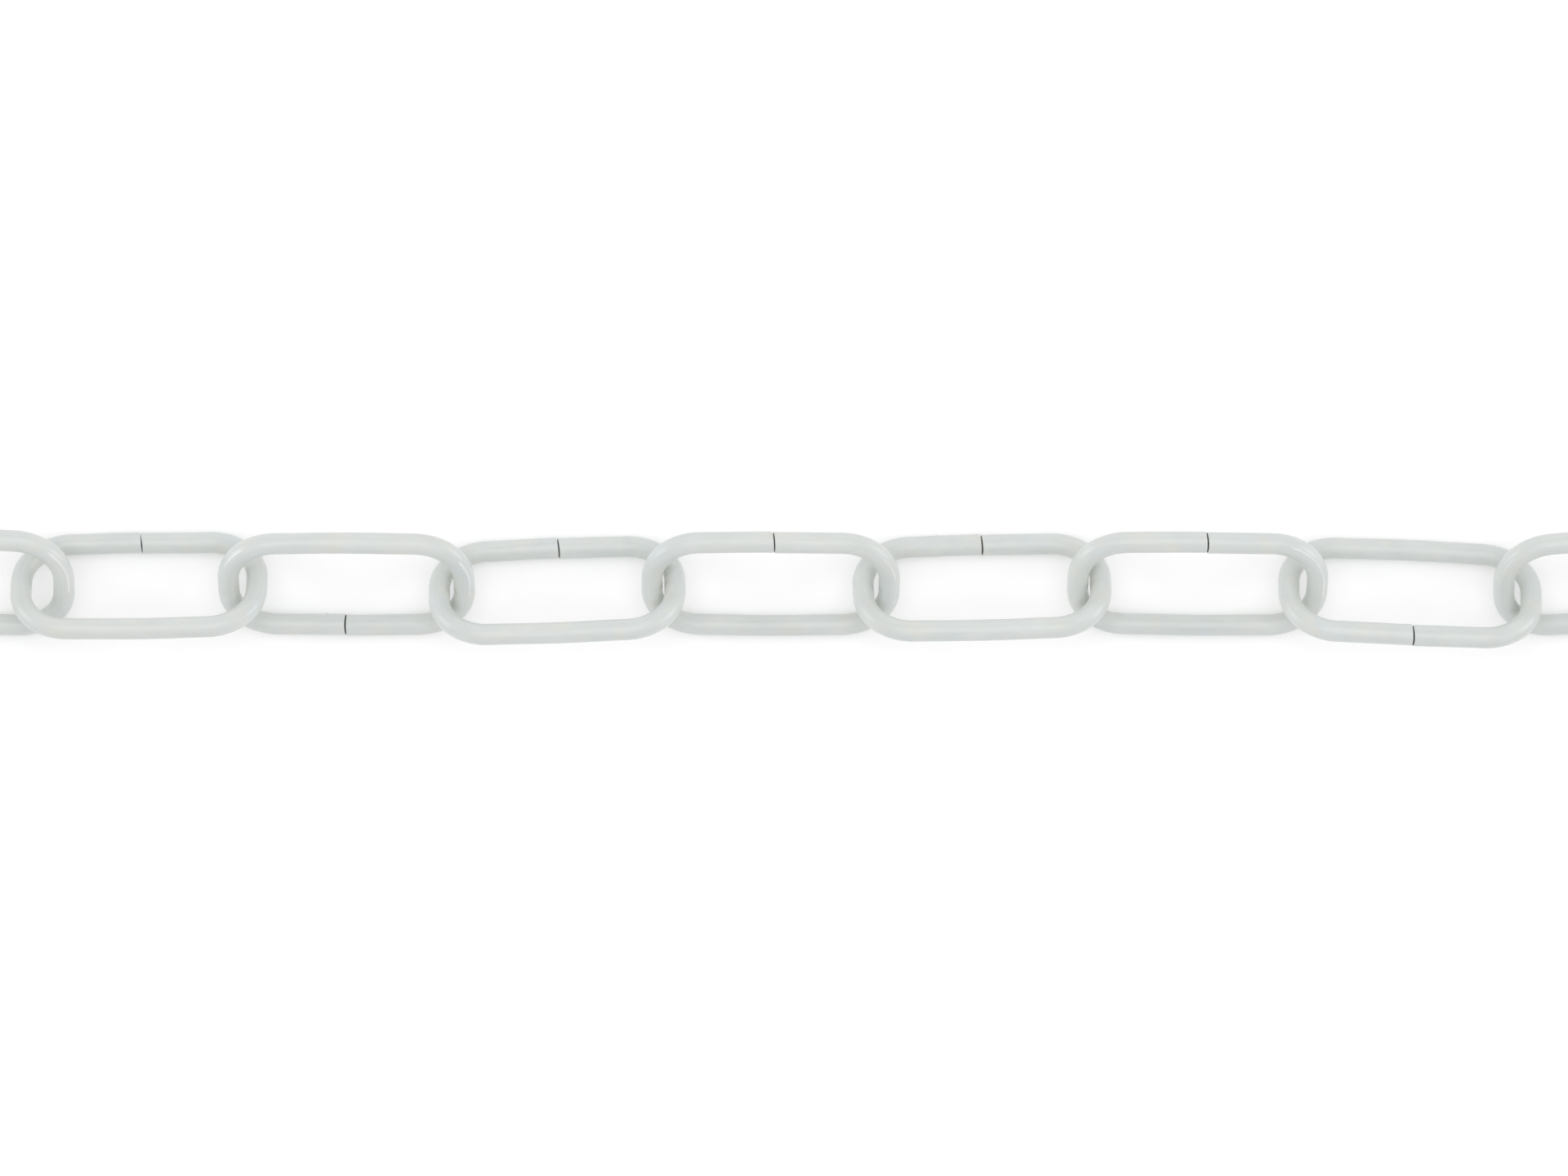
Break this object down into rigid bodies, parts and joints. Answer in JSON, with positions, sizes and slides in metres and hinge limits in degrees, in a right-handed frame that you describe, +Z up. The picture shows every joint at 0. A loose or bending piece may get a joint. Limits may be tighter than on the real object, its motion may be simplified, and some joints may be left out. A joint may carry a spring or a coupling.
{
  "type": "lamp chain",
  "caption": "Length of open-link lamp chain lying slack: oblong links of pale painted round wire, each one butted and not welded half-way along an arm.",
  "frame": {"origin": "on the surface that the chain lies on, under the centre of its bounding box", "axes": "+X along the straight run, to the right in the picture; +Y away from the tails, up in the picture; +Z up"},
  "size_m": [0.3015, 0.1698, 0.0131],
  "materials": {
    "painted_wire": "satin enamel, pale grey-white with a slight cool tint"
  },
  "bodies": {
    "link_01": {"link_01": "painted_wire"},
    "link_02": {"link_02": "painted_wire"},
    "link_03": {"link_03": "painted_wire"},
    "link_04": {"link_04": "painted_wire"},
    "link_05": {"link_05": "painted_wire"},
    "link_06": {"link_06": "painted_wire"},
    "link_07": {"link_07": "painted_wire"},
    "link_08": {"link_08": "painted_wire"},
    "link_09": {"link_09": "painted_wire"},
    "link_10": {"link_10": "painted_wire"},
    "link_11": {"link_11": "painted_wire"},
    "link_12": {"link_12": "painted_wire"},
    "link_13": {"link_13": "painted_wire"},
    "link_14": {"link_14": "painted_wire"},
    "link_15": {"link_15": "painted_wire"},
    "link_16": {"link_16": "painted_wire"},
    "link_17": {"link_17": "painted_wire"},
    "link_18": {"link_18": "painted_wire"},
    "link_19": {"link_19": "painted_wire"},
    "link_20": {"link_20": "painted_wire"},
    "link_21": {"link_21": "painted_wire"}
  },
  "joints": [
    {"name": "swing_12_on_11", "type": "hinge", "parent": "link_11", "child": "link_12", "pos_m": [0.0132, 0.07697, 0.00645], "axis": [0, 0.7314, 0.682], "range_deg": [-130, 130]},
    {"name": "swing_13_on_12", "type": "hinge", "parent": "link_12", "child": "link_13", "pos_m": [0.041, 0.07694, 0.00625], "axis": [-0.0198, 0.7545, -0.6561], "range_deg": [-130, 130]},
    {"name": "swing_14_on_13", "type": "hinge", "parent": "link_13", "child": "link_14", "pos_m": [0.0695, 0.07684, 0.00645], "axis": [-0.0064, -0.7313, -0.682], "range_deg": [-130, 130]},
    {"name": "swing_15_on_14", "type": "hinge", "parent": "link_14", "child": "link_15", "pos_m": [0.09766, 0.07515, 0.0063], "axis": [-0.0301, -0.7484, 0.6626], "range_deg": [-130, 130]},
    {"name": "swing_16_on_15", "type": "hinge", "parent": "link_15", "child": "link_16", "pos_m": [0.12517, 0.07857, 0.00649], "axis": [-0.0506, 0.7236, 0.6884], "range_deg": [-70, 130]},
    {"name": "swing_17_on_16", "type": "hinge", "parent": "link_16", "child": "link_17", "pos_m": [0.143, 0.05687, 0.00625], "axis": [0.5564, 0.5099, -0.6561], "range_deg": [-130, 85]},
    {"name": "swing_18_on_17", "type": "hinge", "parent": "link_17", "child": "link_18", "pos_m": [0.14224, 0.02912, 0.00625], "axis": [-0.7546, -0.0132, -0.6561], "range_deg": [-130, 130]},
    {"name": "swing_19_on_18", "type": "hinge", "parent": "link_18", "child": "link_19", "pos_m": [0.14221, 0.00162, 0.00654], "axis": [-0.7193, 0, 0.6947], "range_deg": [-130, 130]},
    {"name": "swing_20_on_19", "type": "hinge", "parent": "link_19", "child": "link_20", "pos_m": [0.14333, -0.02586, 0.00635], "axis": [0.7426, 0.0285, 0.6691], "range_deg": [-130, 130]},
    {"name": "swing_21_on_20", "type": "hinge", "parent": "link_20", "child": "link_21", "pos_m": [0.14326, -0.05356, 0.00645], "axis": [0.7314, 0, -0.682], "range_deg": [-130, 130]},
    {"name": "swing_10_on_11", "type": "hinge", "parent": "link_11", "child": "link_10", "pos_m": [-0.018, 0.07697, 0.00645], "axis": [0, 0.7314, 0.682], "range_deg": [-130, 130]},
    {"name": "swing_09_on_10", "type": "hinge", "parent": "link_10", "child": "link_09", "pos_m": [-0.04597, 0.07553, 0.00635], "axis": [-0.0285, 0.7426, -0.6691], "range_deg": [-130, 130]},
    {"name": "swing_08_on_09", "type": "hinge", "parent": "link_09", "child": "link_08", "pos_m": [-0.0737, 0.0769, 0.00654], "axis": [0, -0.7193, -0.6947], "range_deg": [-130, 130]},
    {"name": "swing_07_on_08", "type": "hinge", "parent": "link_08", "child": "link_07", "pos_m": [-0.10099, 0.07649, 0.00625], "axis": [0.0132, -0.7546, 0.6561], "range_deg": [-130, 130]},
    {"name": "swing_06_on_07", "type": "hinge", "parent": "link_07", "child": "link_06", "pos_m": [-0.12656, 0.07818, 0.00625], "axis": [0.0329, 0.754, 0.6561], "range_deg": [-130, 75]},
    {"name": "swing_05_on_06", "type": "hinge", "parent": "link_06", "child": "link_05", "pos_m": [-0.14381, 0.05601, 0.00649], "axis": [-0.5474, 0.4759, -0.6884], "range_deg": [-90, 130]},
    {"name": "swing_04_on_05", "type": "hinge", "parent": "link_05", "child": "link_04", "pos_m": [-0.14381, 0.02739, 0.0063], "axis": [0.7484, -0.0301, -0.6626], "range_deg": [-130, 130]},
    {"name": "swing_03_on_04", "type": "hinge", "parent": "link_04", "child": "link_03", "pos_m": [-0.144, -0.00061, 0.00645], "axis": [0.7313, -0.0064, 0.682], "range_deg": [-130, 130]},
    {"name": "swing_02_on_03", "type": "hinge", "parent": "link_03", "child": "link_02", "pos_m": [-0.14322, -0.02829, 0.00625], "axis": [-0.7545, -0.0198, 0.6561], "range_deg": [-130, 130]},
    {"name": "swing_01_on_02", "type": "hinge", "parent": "link_02", "child": "link_01", "pos_m": [-0.14326, -0.056, 0.00645], "axis": [-0.7314, 0, -0.682], "range_deg": [-130, 130]}
  ]
}
